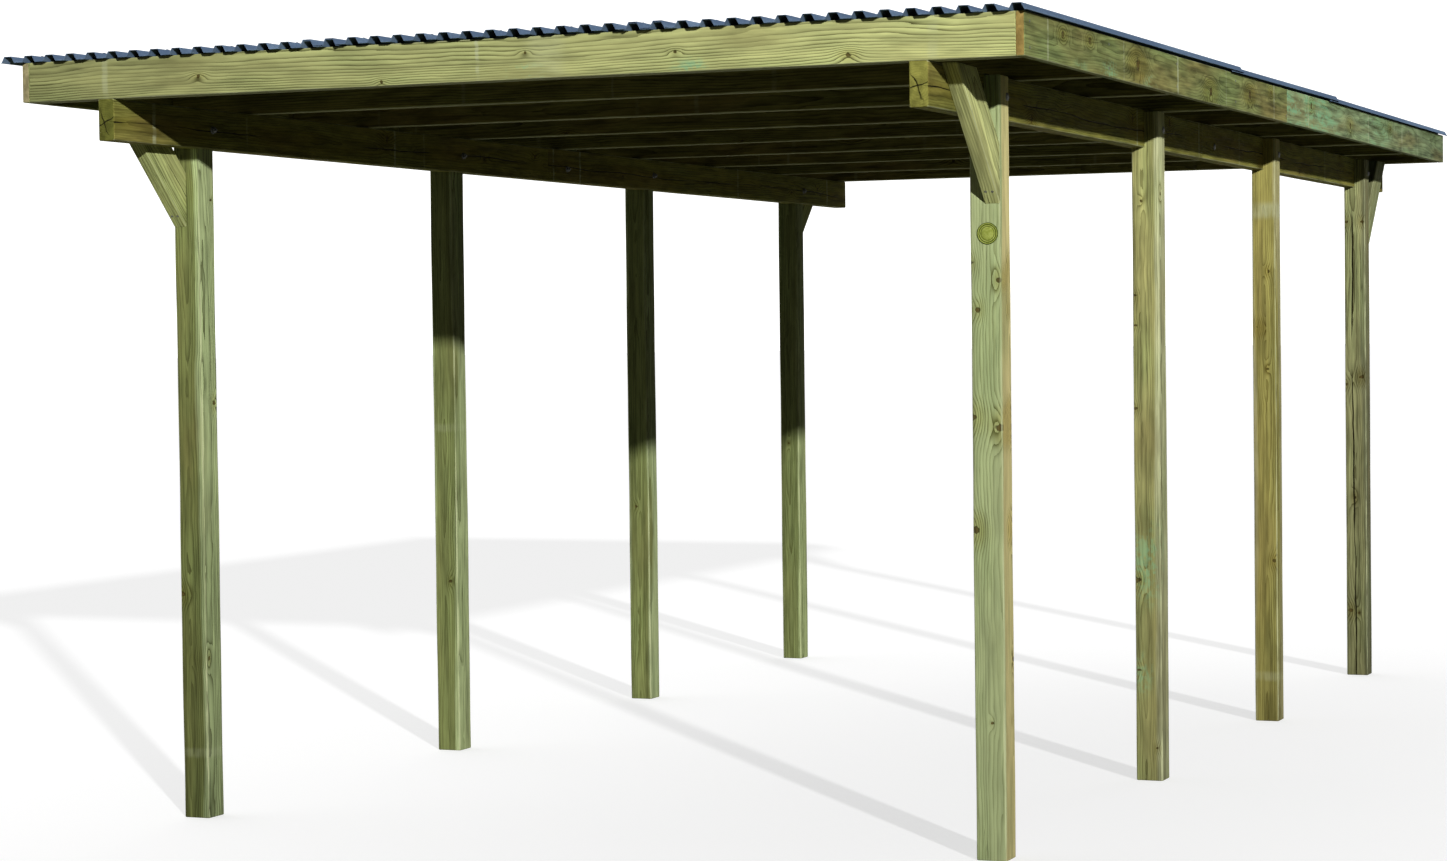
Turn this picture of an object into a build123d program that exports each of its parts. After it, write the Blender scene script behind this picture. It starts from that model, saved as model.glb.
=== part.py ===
from build123d import *
from math import atan2, cos, degrees, radians, tan
import os

# Open timber carport: two rows of notched posts carry two long beams, nine rafters lie across
# the beams, edge boards close the rafters in, and trapezoid sheets laid like shingles cover it.
# Millimetres. X runs across the bay, Y from the front to the back, Z up from the ground.
# The origin is on the ground, under the middle of the roof.

# Layout of the frame
bay_width = 2540            # clear width between the two rows of posts
headroom = 2110             # from the ground to the underside of the beams
post_spacing = 1715         # from post to post along a row
front_overhang = 480        # from the front posts to the outer face of the front board
rear_overhang = 540         # from the rear posts to the outer face of the rear board
roof_width = 3170           # over the outer faces of the side boards
row_names = ["front", "second", "third", "rear"]

# Posts: square bars, notched on the inner side to seat the beam
post_width = 90
post_round = 5
notch_depth = 45
tongue_drop = 6             # the tongue stops this far below the top of the beam

# Beams along the two rows, each of two lengths half-lapped in the middle
beam_thickness = 55
beam_height = 125
beam_round = 4
beam_lap = 300              # length of the half-lap

# Braces at the four corners, lapped on the outer face of the beam
brace_thickness = 45
brace_width = 120
brace_round = 3
brace_drop = 245            # from the underside of the beam down to the toe of the brace
brace_angle = 45            # degrees from level

# Rafters across the beams
rafter_names = ["front", "second", "third", "fourth", "middle", "sixth", "seventh", "eighth", "rear"]
rafter_thickness = 45
rafter_height = 120
rafter_round = 3

# Boards around the edge of the roof
board_thickness = 25
board_round = 3

# Trapezoid roof sheets, three across and three along
column_names = ["left", "middle", "right"]
course_names = ["front", "middle", "rear"]
sheet_pitch_aim = 73.5      # wanted distance from crest to crest
sheet_crest = 26            # flat width of a crest, on its upper side
sheet_height = 18           # from trough to crest
sheet_flank_run = 10        # width of one sloping flank
sheet_lip = 5               # flat lip past the last flank
sheet_thickness = 1.3
sheet_left_overhang = 62    # past the left side boards
sheet_right_overhang = 14   # past the right side boards
sheet_front_overhang = 25   # past the front board
sheet_rear_overhang = 50    # past the rear board
side_lap_crests = 2         # crests shared by two sheets side by side
course_lap = 150            # length shared by two courses
course_joint_rafters = [3, 5]   # the rafters that courses meet over, counted from 0 at the front
lap_clearance = 0.3         # between the flanks of lapped sheets

cut_overrun = 10            # how far a cutting box reaches past the stock

# Levels and lines that the pieces share
beam_bottom = headroom
beam_top = beam_bottom + beam_height
roof_seat = beam_top + rafter_height
post_inner = bay_width / 2
notch_wall = post_inner + notch_depth
beam_inner = notch_wall - beam_thickness
row_length = post_spacing * (len(row_names) - 1)
frame_length = row_length + post_width + front_overhang + rear_overhang
frame_front = -frame_length / 2
row_front = frame_front + front_overhang
row_rear = -frame_front - rear_overhang
rafter_length = roof_width - 2 * board_thickness
first_rafter = frame_front + board_thickness + rafter_thickness / 2
rafter_spacing = -2 * first_rafter / (len(rafter_names) - 1)
sides = {"left": -1, "right": 1}


def bar(width, depth, length, edge_round):
    """A bar with eased long edges, standing on the ground plane and centred on the Z axis."""
    outline = fillet(Rectangle(width, depth).vertices(), edge_round)
    return extrude(outline, length)


def lying(piece, turn):
    """A standing bar laid down about one axis, centred on the origin along its length."""
    laid = turn * piece
    return Pos(*(-laid.bounding_box().center())) * laid


def place_of_row(index):
    """The middle of a post, along the carport."""
    return row_front + post_width / 2 + index * post_spacing


def place_of_rafter(index):
    """The middle of a rafter, along the carport."""
    return first_rafter + index * rafter_spacing


def post(side, index):
    """A square post with its inner half cut away for the beam, which leaves a tongue outside it."""
    stock = bar(post_width, post_width, beam_top - tongue_drop, post_round)
    stock = Pos(side * (post_inner + post_width / 2), place_of_row(index), 0) * stock
    notch = Box(
        notch_depth + cut_overrun,
        post_width + 2 * cut_overrun,
        beam_height + cut_overrun,
        align=(Align.MAX, Align.CENTER, Align.MIN),
    )
    if side < 0:
        notch = mirror(notch, Plane.YZ)
    return stock - Pos(side * notch_wall, place_of_row(index), beam_bottom) * notch


def beam(side, end):
    """Half of a beam, from an end board to just past the middle, lying in the notches of its posts.

    Over the lap the front half keeps its left side and the rear half its right side.
    """
    across = side * (beam_inner + beam_thickness / 2)
    level = beam_bottom + beam_height / 2
    length = (frame_length + beam_lap) / 2
    stock = lying(bar(beam_thickness, beam_height, length, beam_round), Rot(X=90))
    stock = Pos(across, end * (frame_length - length) / 2, level) * stock
    lap = Box(beam_thickness, beam_lap + cut_overrun, beam_height + 2 * cut_overrun)
    return stock - Pos(across - end * beam_thickness / 2, -end * cut_overrun / 2, level) * lap


def brace(side, end):
    """A raking brace: cut upright where it meets the end post, and level under the rafters.

    Its outline is drawn in the plane of the row, with u away from the post and v up. The toe
    is on the face of the post, and the two long edges rise from there at the brace's angle.
    """
    rise = tan(radians(brace_angle))
    seat = brace_width / cos(radians(brace_angle))
    toe = beam_bottom - brace_drop
    head = beam_top
    outline = Polyline(
        (0, toe),
        ((head - toe) / rise, head),
        ((head - toe - seat) / rise, head),
        (0, toe + seat),
        close=True,
    )
    raking = extrude(Plane.YZ * make_face(outline), brace_thickness)
    raking_axis = Axis((0, 0, 0), (0, 1, rise))
    raking = fillet(raking.edges().filter_by(raking_axis), brace_round)
    if end < 0:
        raking = mirror(raking, Plane.XZ)
    if side < 0:
        raking = mirror(raking, Plane.YZ)
    post_face = row_rear if end > 0 else row_front
    return Pos(side * notch_wall, post_face, 0) * raking


def rafter(index):
    """A rafter on edge across both beams, between the side boards."""
    stock = lying(bar(rafter_height, rafter_thickness, rafter_length, rafter_round), Rot(Y=90))
    return Pos(0, place_of_rafter(index), beam_top + rafter_height / 2) * stock


def end_board(end):
    """A board on edge on the ends of the beams, between the side boards, against the end rafter."""
    stock = lying(bar(rafter_height, board_thickness, rafter_length, board_round), Rot(Y=90))
    return Pos(0, end * (frame_length - board_thickness) / 2, beam_top + rafter_height / 2) * stock


def side_board(side, end):
    """Half of a long side board, over the ends of the rafters, butted at the middle rafter."""
    stock = lying(bar(board_thickness, rafter_height, frame_length / 2, board_round), Rot(X=90))
    along = end * frame_length / 4
    return Pos(side * (roof_width - board_thickness) / 2, along, beam_top + rafter_height / 2) * stock


# Sheet profile: crests all across the roof, shared out among the columns
foot_of_crest = sheet_crest + 2 * sheet_flank_run
cover_width = roof_width + sheet_left_overhang + sheet_right_overhang
cover_middle = (sheet_right_overhang - sheet_left_overhang) / 2
outer_crest_span = cover_width - foot_of_crest - 2 * sheet_lip
lapped_crests = side_lap_crests * (len(column_names) - 1)
crests_wanted = outer_crest_span / sheet_pitch_aim + 1
sheet_crests = round((crests_wanted + lapped_crests) / len(column_names))
roof_crests = sheet_crests * len(column_names) - lapped_crests
sheet_pitch = outer_crest_span / (roof_crests - 1)
flank_angle = atan2(sheet_height, sheet_flank_run)
bend_inset = sheet_thickness * tan(flank_angle / 2)
lap_lift = (sheet_thickness + lap_clearance) / cos(flank_angle)

# Courses: each ends over a rafter, where the course in front rides up on the one behind it
# Where four sheets meet, it clears a sheet of that course and the lifted one beside it
course_raise = 2 * lap_lift
course_joints = [place_of_rafter(index) for index in course_joint_rafters]
roof_front = frame_front - sheet_front_overhang
roof_rear = -frame_front + sheet_rear_overhang
course_starts = [roof_front] + [joint - course_lap / 2 for joint in course_joints]
course_ends = [joint + course_lap / 2 for joint in course_joints] + [roof_rear]


def sheet_line(inset, level):
    """The points of one skin of a sheet, from lip to lip, about the sheet's own middle."""
    half_crest = sheet_crest / 2 - inset
    half_foot = foot_of_crest / 2 - inset
    first = -(sheet_crests - 1) / 2 * sheet_pitch
    outer = -first + foot_of_crest / 2 + sheet_lip
    points = [(-outer, level)]
    for number in range(sheet_crests):
        middle = first + number * sheet_pitch
        points += [
            (middle - half_foot, level),
            (middle - half_crest, level + sheet_height),
            (middle + half_crest, level + sheet_height),
            (middle + half_foot, level),
        ]
    points.append((outer, level))
    return points


def roof_sheet(column, course):
    """One trapezoid sheet: its front edge lies on the roof, its back edge on the next course."""
    length = course_ends[course] - course_starts[course]
    outline = Polyline(*sheet_line(0, sheet_thickness), *reversed(sheet_line(bend_inset, 0)), close=True)
    flat = extrude(Plane.XZ * make_face(outline), -length)
    last_course = course == len(course_names) - 1
    raised = 0 if last_course else course_raise
    tilt = degrees(atan2(raised, length - course_lap))
    columns_off = column - (len(column_names) - 1) / 2
    across = cover_middle + columns_off * (sheet_crests - side_lap_crests) * sheet_pitch
    lift = lap_lift if columns_off == 0 else 0
    return Pos(across, course_starts[course], roof_seat + lift) * Rot(X=tilt) * flat


def build():
    """Every piece of the carport, by name."""
    pieces = {}
    for name, side in sides.items():
        for index, row in enumerate(row_names):
            pieces[f"{row}_{name}_post"] = post(side, index)
        for row, end in (("front", -1), ("rear", 1)):
            pieces[f"{row}_{name}_beam"] = beam(side, end)
            pieces[f"{row}_{name}_brace"] = brace(side, end)
            pieces[f"{row}_{name}_side_board"] = side_board(side, end)
    for index, row in enumerate(rafter_names):
        pieces[f"{row}_rafter"] = rafter(index)
    pieces["front_edge_board"] = end_board(-1)
    pieces["rear_edge_board"] = end_board(1)
    for course, along in enumerate(course_names):
        for column, across in enumerate(column_names):
            pieces[f"{along}_{across}_roof_sheet"] = roof_sheet(column, course)
    return pieces


os.makedirs("parts", exist_ok=True)
for node, piece in build().items():
    export_step(piece, f"parts/{node}.step")
    print(node, piece.bounding_box().size)
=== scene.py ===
# %% [markdown]
# # A timber carport
# Two rows of notched posts carry two long beams, nine rafters lie across them, boards close the
# rafters in, and dark trapezoid sheets cover the roof. The solids of the part are loaded first, as
# a fixed frame in metres: X runs across the bay, Y from the front to the back and Z up. Every new
# surface below is measured from those solids, so nothing has to be fitted by eye.

# %% Load the frame
import math

import bpy
import numpy as np
from mathutils import Matrix, Vector


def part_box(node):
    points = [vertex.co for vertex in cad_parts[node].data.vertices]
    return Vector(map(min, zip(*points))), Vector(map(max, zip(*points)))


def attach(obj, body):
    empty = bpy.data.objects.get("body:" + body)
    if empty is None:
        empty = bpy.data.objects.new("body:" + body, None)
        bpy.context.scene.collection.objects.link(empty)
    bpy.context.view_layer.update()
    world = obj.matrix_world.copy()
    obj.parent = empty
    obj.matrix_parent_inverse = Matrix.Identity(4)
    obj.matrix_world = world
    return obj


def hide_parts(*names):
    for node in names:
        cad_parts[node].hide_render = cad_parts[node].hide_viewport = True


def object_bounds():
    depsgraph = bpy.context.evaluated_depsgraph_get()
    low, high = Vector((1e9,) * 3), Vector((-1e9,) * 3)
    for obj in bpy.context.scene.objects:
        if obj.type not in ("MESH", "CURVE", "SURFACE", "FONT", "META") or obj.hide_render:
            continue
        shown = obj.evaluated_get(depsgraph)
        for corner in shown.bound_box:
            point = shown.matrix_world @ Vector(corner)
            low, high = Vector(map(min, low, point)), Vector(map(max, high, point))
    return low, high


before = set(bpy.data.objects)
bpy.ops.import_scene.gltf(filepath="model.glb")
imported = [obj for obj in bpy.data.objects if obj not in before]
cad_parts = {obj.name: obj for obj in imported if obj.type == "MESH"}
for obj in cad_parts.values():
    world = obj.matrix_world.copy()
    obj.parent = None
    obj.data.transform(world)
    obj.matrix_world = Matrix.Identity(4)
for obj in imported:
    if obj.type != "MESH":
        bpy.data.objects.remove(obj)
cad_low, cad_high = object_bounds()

scene = bpy.context.scene
scene.view_settings.view_transform = "Standard"
print("frame:", len(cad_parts), "solids, from", tuple(cad_low), "to", tuple(cad_high))

# %% [markdown]
# ## The camera
# The photograph was taken from the front right, at eye height, with a long lens. A camera could
# be turned by eye until it looks right. Here its place comes from a pinhole fit to the edges
# of the posts and boards, so the picture can be laid over the photograph.

# %% Camera
PHOTO_WIDTH = 1447
FOCAL_PIXELS = 3187.0
SENSOR_WIDTH = 36.0
EYE = Vector((4.108, -11.257, 1.5014))
YAW, PITCH, ROLL = 0.3963, -0.02963, -0.0124


def photo_camera():
    """A camera at the eye: it looks straight down at first, then is rolled, tipped up and turned."""
    roll, tip, yaw = (Matrix.Rotation(angle, 4, axis)
                      for angle, axis in ((ROLL, "Z"), (math.pi / 2 + PITCH, "X"), (YAW, "Z")))
    lens = bpy.data.cameras.new("photo_lens")
    lens.sensor_width = SENSOR_WIDTH
    lens.lens = FOCAL_PIXELS * SENSOR_WIDTH / PHOTO_WIDTH
    camera = bpy.data.objects.new("photo_camera", lens)
    scene.collection.objects.link(camera)
    camera.matrix_world = Matrix.Translation(EYE) @ yaw @ tip @ roll
    return camera


scene.camera = photo_camera()
print("camera: lens", round(scene.camera.data.lens, 1), "mm")

# %% [markdown]
# ## Writing shader nodes as sums
# A material is a small graph of nodes. Written out one call at a time it gets long, so here a
# node's output is wrapped in a class that knows the signs of arithmetic: each sign adds one Math
# node to the graph. A few helpers add the rest, such as a smooth step, a mix or a noise, and two
# open and close a node group. Colours are written as they look on screen, from 0 to 255.

# %% Nodes and fields
class Field:
    """A node's output that sums can be written with: each sign adds one Math node to its tree."""

    def __init__(self, socket):
        self.socket, self.tree = socket, socket.id_data

    def __add__(self, other):
        return calc("ADD", self, other)

    def __sub__(self, other):
        return calc("SUBTRACT", self, other)

    def __rsub__(self, other):
        return calc("SUBTRACT", other, self)

    def __mul__(self, other):
        return calc("MULTIPLY", self, other)

    def __truediv__(self, other):
        return calc("DIVIDE", self, other)

    def __abs__(self):
        return calc("ABSOLUTE", self)


def wire(node, sockets):
    """Fills a node's sockets with values, or links them to fields."""
    for name, value in sockets.items():
        if isinstance(value, Field):
            value.tree.links.new(value.socket, node.inputs[name])
        else:
            node.inputs[name].default_value = value
    return node


def add(tree, kind, sockets=None, **settings):
    """Adds a node with its settings and fills its sockets."""
    node = tree.nodes.new("ShaderNode" + kind)
    for name, value in settings.items():
        setattr(node, name, value)
    return wire(node, sockets or {})


def field(tree, kind, sockets=None, output=0, **settings):
    """Adds a node and gives one of its outputs."""
    return Field(add(tree, kind, sockets, **settings).outputs[output])


def tree_of(values):
    """The tree of the first field among some values."""
    return next(value.tree for value in values if isinstance(value, Field))


def calc(operation, *values):
    """The result of a Math node."""
    return field(tree_of(values), "Math", dict(enumerate(values)), operation=operation)


def vector(operation, *values):
    """The result of a Vector Math node, as a vector."""
    return field(tree_of(values), "VectorMath", dict(enumerate(values)), operation=operation)


def parts(whole):
    """The three parts of a vector or a colour."""
    return [Field(output) for output in add(whole.tree, "SeparateXYZ", {0: whole}).outputs]


def join(*values):
    """A vector of three parts."""
    return field(tree_of(values), "CombineXYZ", dict(enumerate(values)))


# %% Steps, mixes and noises
def tone(red, green, blue):
    """A colour as it looks on screen, made linear by the standard display curve."""
    seen = np.array([red, green, blue]) / 255.0
    linear = np.where(seen <= 0.04045, seen / 12.92, ((seen + 0.055) / 1.055) ** 2.4)
    return (*linear.tolist(), 1.0)


def ramp(value, low, high, start=0.0, end=1.0):
    """A smooth step: start where the value is below low, end where it is above high."""
    sockets = {"Value": value, "From Min": low, "From Max": high, "To Min": start, "To Max": end}
    return field(value.tree, "MapRange", sockets, interpolation_type="SMOOTHSTEP")


def blend(share, under, over):
    """One colour laid over another by a share from 0 to 1."""
    return field(share.tree, "Mix", {0: share, 6: under, 7: over}, 2, data_type="RGBA")


def dim(colour, factor):
    """A colour times a factor."""
    return vector("MULTIPLY", colour, join(factor, factor, factor))


def noise(where, stretch, detail=2.0, output="Fac"):
    """Soft noise over a vector that is first stretched along its three parts, in cycles a metre."""
    sockets = {"Vector": vector("MULTIPLY", where, stretch), "Scale": 1.0, "Detail": detail}
    return field(where.tree, "TexNoise", sockets, output)


def line_noise(along, scale, detail):
    """Three soft noises along a line, as a colour."""
    sockets = {"W": along, "Scale": scale, "Detail": detail}
    return field(along.tree, "TexNoise", sockets, "Color", noise_dimensions="1D")


# %% Groups and materials
def named(**kinds):
    """A kind for each socket name, from names listed by kind."""
    return {name: kind for kind, names in kinds.items() for name in names.split(", ")}


def open_group(name, takes, gives):
    """A node group with named sockets, and its inputs as fields."""
    group = bpy.data.node_groups.new(name, "ShaderNodeTree")
    for way, kinds in (("INPUT", takes), ("OUTPUT", gives)):
        for socket, kind in kinds.items():
            group.interface.new_socket(socket, in_out=way, socket_type="NodeSocket" + kind)
    first = group.nodes.new("NodeGroupInput")
    return group, {socket: Field(first.outputs[socket]) for socket in takes}


def close_group(group, results):
    """Wires each result to the group's output of that name."""
    wire(group.nodes.new("NodeGroupOutput"), results)
    print("node group:", group.name, "with", len(group.nodes), "nodes")
    return group


def use(tree, group, sockets):
    """Places a node group, fills its sockets by name and gives its outputs by name."""
    node = tree.nodes.new("ShaderNodeGroup")
    node.node_tree = group
    return {output.name: Field(output) for output in wire(node, sockets).outputs}


def open_material(name):
    """A material with an empty node tree."""
    material = bpy.data.materials.new(name)
    material.use_nodes = True
    material.node_tree.nodes.clear()
    return material, material.node_tree


def close_material(material, colour, rough, gloss, **more):
    """Ends a material with a principled surface."""
    tree = material.node_tree
    sockets = {"Base Color": colour, "Roughness": rough, "Specular IOR Level": gloss, **more}
    add(tree, "OutputMaterial", {"Surface": field(tree, "BsdfPrincipled", sockets)})
    return material


def bumped(height, strength, distance):
    """The way a surface faces when a height tilts it."""
    return field(height.tree, "Bump", {"Strength": strength, "Distance": distance, "Height": height})


def stored(tree, name, output="Fac"):
    """An attribute that the mesh keeps."""
    return field(tree, "Attribute", None, output, attribute_name=name)


def object_place(tree):
    """Where a point lies on its object."""
    return field(tree, "TexCoord", None, "Object")


# %% [markdown]
# ## How a log grows
# All the timber is pressure-treated pine, so one description of a log serves every piece. A log
# has a pith, rings around it and branches that start at the pith. Each timber stores, at every
# point of its mesh, how far along the log that point lies and where it is from the pith. A flat
# picture of wood could be laid on each face instead, but then the cut ends wouldn't match.

# %% Growth: place in the log
PITH_WANDER = (0.0, 0.03, 0.03)
RIPPLE_STRETCH = (5.0, 15.0, 15.0)
FINE_STRETCH = (70.0, 90.0, 90.0)
PATCH_STRETCH = (7.0, 42.0, 42.0)


def centred(colour):
    """A noise colour about zero."""
    return vector("SUBTRACT", colour, (0.5, 0.5, 0.5))


def growth_group():
    """Along, distance from a wandering pith and angle round it, and two noises that several marks share."""
    takes = named(Vector="Grain", Float="Ripple")
    group, given = open_group("log_growth", takes, named(Vector="Place", Float="Fine, Patch"))
    grain, ripple = given["Grain"], given["Ripple"]
    along = parts(grain)[0]
    wander = vector("MULTIPLY", centred(line_noise(along, 0.9, 1.0)), PITH_WANDER)
    waves = noise(grain, RIPPLE_STRETCH, 2.0, "Color")
    waves = vector("MULTIPLY", centred(waves), join(0.0, ripple, ripple))
    a, b = parts(vector("ADD", vector("ADD", grain, wander), waves))[1:]
    return close_group(group, {
        "Place": join(along, calc("SQRT", a * a + b * b), calc("ARCTAN2", b, a)),
        "Fine": noise(grain, FINE_STRETCH, 1.0),
        "Patch": noise(grain, PATCH_STRETCH, 3.0),
    })


log_growth = growth_group()

# %% Growth: a branch knot
BELL_LENGTH, BELL_WIDTH = 4.6, 2.0


def knot_group():
    """A branch: a ray from the pith at one angle. Near it the rings swell, in a bell that is longer along.

    The knot shows only in a shell of the log round its depth, so it marks one face and not the next.
    """
    takes = named(Vector="Place", Float="Fine, Along, Angle, Size, Depth, Shell, Knot, Swell")
    group, given = open_group("branch_knot", takes, named(Float="Knot, Swell"))
    along, radius, angle = parts(given["Place"])
    turn = angle - given["Angle"]
    facing = calc("GREATER_THAN", calc("COSINE", turn), 0.0)
    u = (along - given["Along"]) / given["Size"]
    v = radius * calc("SINE", turn) / given["Size"]
    ragged = calc("SQRT", u * u + v * v) * (given["Fine"] * 1.5 + 0.25)
    shown = ramp(abs(radius - given["Depth"]) / given["Shell"], 0.6, 1.0, 1.0, 0.0) * facing
    knot = ramp(ragged, 0.5, 1.0, 1.0, 0.0) * shown
    u, v = u / BELL_LENGTH, v / BELL_WIDTH
    bell = calc("EXPONENT", (u * u + v * v) * -1.0)
    return close_group(group, {
        "Knot": calc("MAXIMUM", knot, given["Knot"]),
        "Swell": bell * given["Size"] * facing + given["Swell"],
    })


branch_knot = knot_group()

# %% [markdown]
# ## Marks that the yard leaves
# Boards are stacked on thin sticks while the green salt soaks in, and each stick leaves a pale
# bar across the board. Salt that ran together dries as turquoise blots. Both are placed by how
# far along the board they lie, so they sit where the photograph shows them.

# %% Yard marks: stick bars and salt blots
BAR_WAVER = 0.012
BLOT_SQUASH = (0.5, 1.0, 1.0)


def stick_group():
    """A pale bar across the grain at one place along the log, broken up by the patchy noise."""
    takes = named(Vector="Place", Float="Patch, Along, Width, Strength, Bar")
    group, given = open_group("stick_bar", takes, named(Float="Bar"))
    off = parts(given["Place"])[0] - given["Along"] + (given["Patch"] - 0.5) * BAR_WAVER
    bar = ramp(abs(off) / given["Width"], 0.2, 0.7, 1.0, 0.0) * ramp(given["Patch"], 0.3, 0.6, 0.15, 1.0)
    return close_group(group, {"Bar": calc("MAXIMUM", bar * given["Strength"], given["Bar"])})


def blot_group():
    """A blot of dried salt round one point of the log, crumbled by both noises."""
    takes = named(Vector="Grain, Centre", Float="Fine, Patch, Size, Strength, Blot")
    group, given = open_group("salt_blot", takes, named(Float="Blot"))
    off = vector("MULTIPLY", vector("SUBTRACT", given["Grain"], given["Centre"]), BLOT_SQUASH)
    far = field(group, "VectorMath", {0: off}, "Value", operation="LENGTH")
    near = ramp(far / given["Size"], 0.15, 1.0, 1.0, 0.0)
    crumbs = ramp(given["Fine"] * 0.6 + given["Patch"], 0.72, 0.98)
    return close_group(group, {"Blot": calc("MAXIMUM", near * crumbs * given["Strength"], given["Blot"])})


stick_bar = stick_group()
salt_blot = blot_group()

# %% [markdown]
# ## Treated pine
# The rings, knots and marks come together in one group. Sapwood takes up the green salt and turns
# pale, the heart stays brown, late wood draws the thin dark lines, and the sun opens cracks that
# run along the log and out from the pith. The group gives a colour, a roughness and a height,
# and each timber's own material sets how green, how brown and how cracked it is.

# %% Treated pine
SALT_GREEN = tone(104, 126, 78)
WARM_BROWN = tone(138, 118, 70)
DRIED_SALT = tone(126, 178, 136)
STICK_PALE = tone(186, 192, 158)
RESIN_TINT = (0.84, 0.74, 0.46)
KNOT_RIM = tone(46, 38, 18)
KNOT_HEART = tone(92, 78, 40)
CRACK_DARK = tone(30, 27, 14)
# A pale tone for rounded edges and faces that look down: partly real wear, partly painted highlight and
# painted light from below
WORN_AND_LIT_EDGE = tone(178, 182, 142)
BAND_STRETCH = (1.1, 40.0, 40.0)
FIBRE_STRETCH = (6.0, 150.0, 150.0)
CLOUD_STRETCH = (1.9, 9.0, 9.0)
HAIR_STRETCH = (1.7, 70.0, 70.0)
CRACK_WIDTH, CRACK_BLUR = 0.0011, 0.0009


def pine_group():
    """Colour, roughness and height of treated pine at a place in the log."""
    takes = named(
        Vector="Grain, Place", Color="Sapwood, Heartwood, Latewood, Cut End",
        Float="Fine, Patch, Knot, Swell, Bar, Blot, Arris, Sawn, Heart Radius, Ring Width, Ring Strength, "
              "Green, Brown, Cracks, Crack Angle, Wear, Middle, Fade, Mottle, Streak, Underside")
    group, given = open_group("treated_pine", takes, named(Color="Color", Float="Roughness, Height"))
    grain, patch, cracks = given["Grain"], given["Patch"], given["Cracks"]
    knot, swell = given["Knot"], given["Swell"]
    along, radius, angle = parts(given["Place"])
    band = noise(grain, BAND_STRETCH, 4.0)
    fibre = ramp(noise(grain, FIBRE_STRETCH, 3.0), 0.28, 0.72)
    cloud = noise(grain, CLOUD_STRETCH)
    mottle = ramp(patch, 0.32, 0.68)

    # Rings: each year is a tooth of the distance from the pith, with a thin dark line at its end
    years = (swell * 1.5 + radius) / given["Ring Width"] + band * 1.5
    strength = ramp(cloud, 0.3, 0.66, 0.3, 1.0) * given["Ring Strength"]
    strength = strength + ramp(swell, 0.0008, 0.006, 0.0, 0.5)
    late = calc("POWER", calc("FRACT", years), 3.0) * calc("MINIMUM", strength, 1.0)

    # Heart and sapwood, with a wavering border between them
    border = radius - given["Heart Radius"] + band * 0.02
    wood = blend(ramp(border, 0.004, 0.016), given["Heartwood"], given["Sapwood"])
    wood = blend(ramp(cloud, 0.46, 0.7) * given["Green"], wood, SALT_GREEN)
    wood = blend(ramp(cloud, 0.5, 0.3) * given["Brown"], wood, WARM_BROWN)
    wood = blend(late, wood, given["Latewood"])

    # Lighter and darker: fibres and bands, broad clouds, small patches, and a slow change along the log
    lines = fibre * 0.75 + ramp(band, 0.3, 0.7) - 0.875
    shade = lines * given["Streak"] + (mottle - 0.5) * given["Mottle"] + ramp(cloud, 0.3, 0.7, 0.88, 1.12)
    fade = (along - given["Middle"]) * given["Fade"] + 1.0
    wood = dim(wood, shade * fade)

    # Yard marks
    wood = blend(given["Blot"], wood, DRIED_SALT)
    wood = blend(given["Bar"], wood, STICK_PALE)

    # Resin browns the wood round a knot, and the knot is dark at its rim and paler inside
    wood = blend(ramp(swell, 0.001, 0.011, 0.0, 0.6), wood, vector("MULTIPLY", wood, RESIN_TINT))
    wood = dim(wood, 1.0 - late * 0.35)
    eye = blend(ramp(knot, 0.75, 1.0) * fibre, KNOT_RIM, KNOT_HEART)
    wood = blend(ramp(knot, 0.1, 0.95, 0.0, 0.9), wood, eye)

    # Cracks open on one side of the pith, and come and go along the log
    sway, reach = parts(line_noise(along, 1.3, 3.0))[:2]
    turn = angle - given["Crack Angle"] + (sway - 0.5) * 0.3
    gap = abs(calc("SINE", turn * 0.5)) * radius
    wide = ramp(reach, 0.36, 0.54) * cracks * CRACK_WIDTH
    crack = ramp(gap - wide, -CRACK_BLUR, 0.0, 1.0, 0.0) * ramp(radius, 0.014, 0.026)
    hair = ramp(abs(noise(grain, HAIR_STRETCH) - 0.5), 0.003, 0.013, 0.6, 0.0) * ramp(cloud, 0.48, 0.64)
    crack = calc("MAXIMUM", crack, hair * calc("MINIMUM", cracks, 0.8))
    wood = blend(crack, wood, CRACK_DARK)

    # Rounded edges turn pale, partly from real wear and partly as a painted highlight, and faces that look
    # down get a painted pale light, as if lit from the floor below
    edge_wear_and_highlight = ramp(patch, 0.36, 0.6, 0.3, 1.0) * given["Wear"]
    wood = blend(given["Arris"] * edge_wear_and_highlight, wood, WORN_AND_LIT_EDGE)
    # Painted light from below: faces that look down are blended towards the pale tone
    up = parts(field(group, "NewGeometry", None, "True Normal"))[2]
    wood = blend(ramp(up, -0.6, -0.9) * given["Underside"], wood, WORN_AND_LIT_EDGE)

    # A cut end shows the rings as arcs, and drying checks that open from the pith like a star
    star = abs(calc("SINE", patch * 1.4 + angle * 2.0)) * radius
    star = ramp(star, 0.0012, 0.006, 1.0, 0.0) * ramp(radius, 0.06, 0.02)
    end = dim(blend(late * 0.6, given["Cut End"], given["Latewood"]), mottle * 0.4 + 0.78)
    end = blend(star * calc("MINIMUM", cracks, 1.0), end, CRACK_DARK)
    wood = blend(given["Sawn"], wood, end)

    height = late * 0.5 + fibre * 0.3 - calc("MAXIMUM", crack, knot) * 1.6
    return close_group(group, {"Color": wood, "Roughness": fibre * 0.14 + 0.74, "Height": height})


treated_pine = pine_group()

# %% [markdown]
# ## One material for each timber
# No two boards come from the same tree, and the photograph shows it: one post is olive, the next
# is nearly straw. So each timber gets a material of its own from the shared groups, and a log
# number as its seed: posts count from 0, beams from 20 and so on. The material lists the knots,
# bars and blots that can be seen on the timber, and the rest come from a seeded draw.

# %% A timber's material
SURFACE_DEPTH, SURFACE_STRENGTH = 0.0018, 0.7
WOOD_GLOSS = 0.03
LOG_GAP = 3.7
SPOT_SHELL = 0.014
WHOLE_BRANCH = 1.0

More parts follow.
